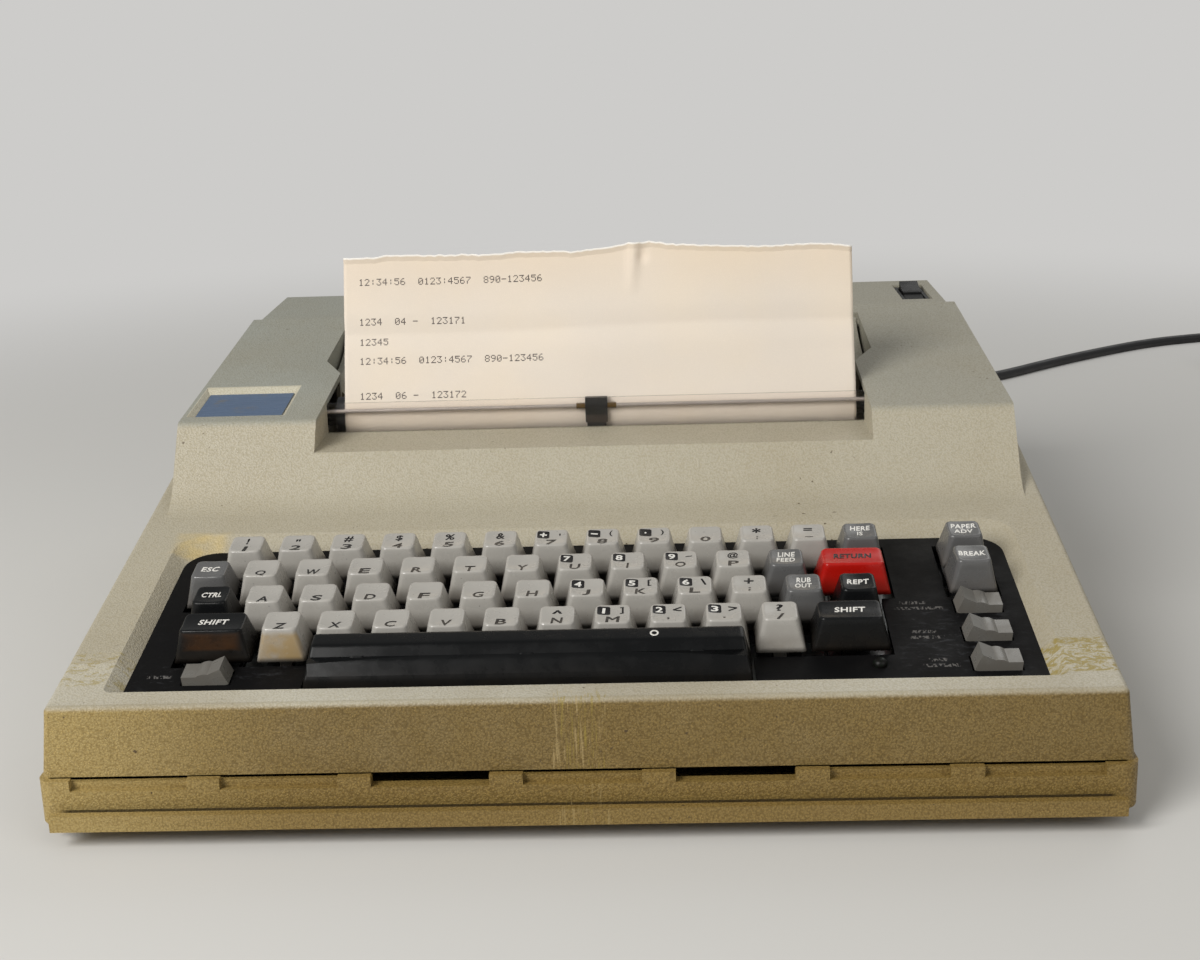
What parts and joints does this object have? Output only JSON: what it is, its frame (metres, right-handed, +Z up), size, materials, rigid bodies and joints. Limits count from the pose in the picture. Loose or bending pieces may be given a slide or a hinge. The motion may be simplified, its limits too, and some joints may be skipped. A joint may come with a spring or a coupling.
{
  "type": "printing computer terminal",
  "caption": "Desk printing terminal: wedge keyboard with coloured keys and rocker switches in front, raised thermal printer module with paper behind, mains cord.",
  "frame": {"origin": "middle of the machine's footprint at desk level, under the feet", "axes": "+X to the right, +Y to the rear, +Z up"},
  "size_m": [0.7097, 0.7712, 0.1626],
  "materials": {
    "case_top": "pebbled, slightly worn",
    "case_lower": "pebbled, yellowed",
    "rubber": "matt",
    "steel": "zinc plated",
    "label": "satin foil",
    "clear": "clear",
    "plate_dark": "matt, dusty",
    "lamp": "tinted",
    "switch_black": "moulded",
    "circuit_board": "solder mask",
    "cap_beige": "worn satin",
    "cap_grey": "worn satin",
    "cap_red": "worn satin",
    "cap_black": "worn satin",
    "rocker_grey": "moulded",
    "cord_black": "satin",
    "motor": "machined",
    "core": "varnished laminations",
    "roller": "ground",
    "gear_white": "moulded",
    "paper": "thermal paper"
  },
  "bodies": {
    "base": {"lower_housing": "case_lower", "upper_housing": "case_top", "rear_panel": "steel", "rubber_feet": "rubber", "screws": "steel", "nameplate": "label", "paper_window": "clear", "keyboard_plate": "plate_dark", "status_led": "lamp", "switch_frame": "steel", "key_switches": "switch_black", "keyboard_board": "circuit_board", "rocker_cradles": "switch_black", "power_switch": "switch_black", "rear_connector": "steel", "power_transformer": "core", "main_board": "circuit_board", "strain_relief": "rubber", "power_cord": "cord_black", "cord_coil": "cord_black", "power_plug": "rubber", "printer_chassis": "steel", "paper_sheet": "paper", "paper_guide": "steel", "carriage_rails": "steel", "drive_belt": "rubber", "carriage_motor": "motor", "feed_motor": "motor"},
    "key_here_is": {"key_here_is": "cap_grey"},
    "key_paper_advance": {"key_paper_advance": "cap_grey"},
    "key_escape": {"key_escape": "cap_grey"},
    "key_line_feed": {"key_line_feed": "cap_grey"},
    "key_return": {"key_return": "cap_red"},
    "key_break": {"key_break": "cap_grey"},
    "key_control": {"key_control": "cap_black"},
    "key_rub_out": {"key_rub_out": "cap_grey"},
    "key_repeat": {"key_repeat": "cap_black"},
    "key_shift_left": {"key_shift_left": "cap_black"},
    "key_shift_right": {"key_shift_right": "cap_black"},
    "number_keys": {"number_keys": "cap_beige"},
    "upper_letter_keys": {"upper_letter_keys": "cap_beige"},
    "home_letter_keys": {"home_letter_keys": "cap_beige"},
    "lower_letter_keys": {"lower_letter_keys": "cap_beige"},
    "space_bar": {"space_bar": "cap_black"},
    "rocker_line": {"rocker_line": "rocker_grey"},
    "rocker_speed": {"rocker_speed": "rocker_grey"},
    "rocker_parity": {"rocker_parity": "rocker_grey"},
    "rocker_duplex": {"rocker_duplex": "rocker_grey"},
    "power_rocker": {"power_rocker": "switch_black"},
    "paper_door": {"paper_door": "case_top"},
    "carriage": {"print_carriage": "switch_black", "print_head": "switch_black"},
    "motor_pulley": {"motor_pulley": "gear_white"},
    "idler_pulley": {"idler_pulley": "gear_white"},
    "platen": {"platen_roller": "roller", "platen_gear": "gear_white"},
    "feed_pinion": {"feed_pinion": "gear_white"},
    "paper_supply": {"paper_roll": "paper", "roll_spindle": "gear_white"}
  },
  "joints": [
    {"name": "key_here_is_press", "type": "slide", "parent": "base", "child": "key_here_is", "axis": [0, 0.1736, -0.9848], "range_m": [0, 0.0038], "stiffness_N_per_m": 150, "springref_m": -0.002},
    {"name": "key_paper_advance_press", "type": "slide", "parent": "base", "child": "key_paper_advance", "axis": [0, 0.1736, -0.9848], "range_m": [0, 0.0038], "stiffness_N_per_m": 150, "springref_m": -0.002},
    {"name": "key_escape_press", "type": "slide", "parent": "base", "child": "key_escape", "axis": [0, 0.1736, -0.9848], "range_m": [0, 0.0038], "stiffness_N_per_m": 150, "springref_m": -0.002},
    {"name": "key_line_feed_press", "type": "slide", "parent": "base", "child": "key_line_feed", "axis": [0, 0.1736, -0.9848], "range_m": [0, 0.0038], "stiffness_N_per_m": 150, "springref_m": -0.002},
    {"name": "key_return_press", "type": "slide", "parent": "base", "child": "key_return", "axis": [0, 0.1736, -0.9848], "range_m": [0, 0.0038], "stiffness_N_per_m": 150, "springref_m": -0.002},
    {"name": "key_break_press", "type": "slide", "parent": "base", "child": "key_break", "axis": [0, 0.1736, -0.9848], "range_m": [0, 0.0038], "stiffness_N_per_m": 150, "springref_m": -0.002},
    {"name": "key_control_press", "type": "slide", "parent": "base", "child": "key_control", "axis": [0, 0.1736, -0.9848], "range_m": [0, 0.0038], "stiffness_N_per_m": 150, "springref_m": -0.002},
    {"name": "key_rub_out_press", "type": "slide", "parent": "base", "child": "key_rub_out", "axis": [0, 0.1736, -0.9848], "range_m": [0, 0.0038], "stiffness_N_per_m": 150, "springref_m": -0.002},
    {"name": "key_repeat_press", "type": "slide", "parent": "base", "child": "key_repeat", "axis": [0, 0.1736, -0.9848], "range_m": [0, 0.0038], "stiffness_N_per_m": 150, "springref_m": -0.002},
    {"name": "key_shift_left_press", "type": "slide", "parent": "base", "child": "key_shift_left", "axis": [0, 0.1736, -0.9848], "range_m": [0, 0.0038], "stiffness_N_per_m": 150, "springref_m": -0.002},
    {"name": "key_shift_right_press", "type": "slide", "parent": "base", "child": "key_shift_right", "axis": [0, 0.1736, -0.9848], "range_m": [0, 0.0038], "stiffness_N_per_m": 150, "springref_m": -0.002},
    {"name": "number_keys_press", "type": "slide", "parent": "base", "child": "number_keys", "axis": [0, 0.1736, -0.9848], "range_m": [0, 0.0038], "stiffness_N_per_m": 1800, "springref_m": -0.002},
    {"name": "upper_letter_keys_press", "type": "slide", "parent": "base", "child": "upper_letter_keys", "axis": [0, 0.1736, -0.9848], "range_m": [0, 0.0038], "stiffness_N_per_m": 1500, "springref_m": -0.002},
    {"name": "home_letter_keys_press", "type": "slide", "parent": "base", "child": "home_letter_keys", "axis": [0, 0.1736, -0.9848], "range_m": [0, 0.0038], "stiffness_N_per_m": 1500, "springref_m": -0.002},
    {"name": "lower_letter_keys_press", "type": "slide", "parent": "base", "child": "lower_letter_keys", "axis": [0, 0.1736, -0.9848], "range_m": [0, 0.0038], "stiffness_N_per_m": 1500, "springref_m": -0.002},
    {"name": "space_bar_press", "type": "slide", "parent": "base", "child": "space_bar", "axis": [0, 0.1736, -0.9848], "range_m": [0, 0.0038], "stiffness_N_per_m": 250, "springref_m": -0.002},
    {"name": "rocker_line_tilt", "type": "hinge", "parent": "base", "child": "rocker_line", "pos_m": [-0.12795, -0.15849, 0.0452], "axis": [0, 0.9848, 0.1736], "range_deg": [0, 24.9]},
    {"name": "rocker_speed_tilt", "type": "hinge", "parent": "base", "child": "rocker_speed", "pos_m": [0.13875, -0.12097, 0.05182], "axis": [0, -0.9848, -0.1736], "range_deg": [0, 24.9]},
    {"name": "rocker_parity_tilt", "type": "hinge", "parent": "base", "child": "rocker_parity", "pos_m": [0.13875, -0.13973, 0.04851], "axis": [0, -0.9848, -0.1736], "range_deg": [0, 24.9]},
    {"name": "rocker_duplex_tilt", "type": "hinge", "parent": "base", "child": "rocker_duplex", "pos_m": [0.13875, -0.15849, 0.0452], "axis": [0, -0.9848, -0.1736], "range_deg": [0, 24.9]},
    {"name": "power_rocker_tilt", "type": "hinge", "parent": "base", "child": "power_rocker", "pos_m": [0.1537, 0.16125, 0.112], "axis": [-1, 0, 0], "range_deg": [0, 20]},
    {"name": "paper_door_hinge", "type": "hinge", "parent": "base", "child": "paper_door", "pos_m": [0, 0.1135, 0.1095], "axis": [-1, 0, 0], "range_deg": [0, 95]},
    {"name": "carriage_slide", "type": "slide", "parent": "base", "child": "carriage", "axis": [1, 0, 0], "range_m": [-0.094, 0.094]},
    {"name": "motor_pulley_spin", "type": "hinge", "parent": "base", "child": "motor_pulley", "pos_m": [-0.1045, -0.006, 0.0665], "axis": [0, 0, 1], "range_deg": [-683, 683]},
    {"name": "idler_pulley_spin", "type": "hinge", "parent": "base", "child": "idler_pulley", "pos_m": [0.1045, -0.006, 0.0665], "axis": [0, 0, 1], "range_deg": [-683, 683]},
    {"name": "platen_spin", "type": "hinge", "parent": "base", "child": "platen", "pos_m": [0, 0.0194, 0.0927], "axis": [1, 0, 0], "continuous": true},
    {"name": "feed_pinion_spin", "type": "hinge", "parent": "base", "child": "feed_pinion", "pos_m": [0.123, 0.01143, 0.0832], "axis": [1, 0, 0], "continuous": true},
    {"name": "paper_roll_spin", "type": "hinge", "parent": "base", "child": "paper_supply", "pos_m": [0, 0.078, 0.07], "axis": [1, 0, 0], "continuous": true}
  ],
  "couplings": [
    {"joint": "motor_pulley_spin", "follows": "carriage_slide", "rad_per_m": 126.58},
    {"joint": "idler_pulley_spin", "follows": "carriage_slide", "rad_per_m": 126.58},
    {"joint": "feed_pinion_spin", "follows": "platen_spin", "ratio": -1.5}
  ]
}
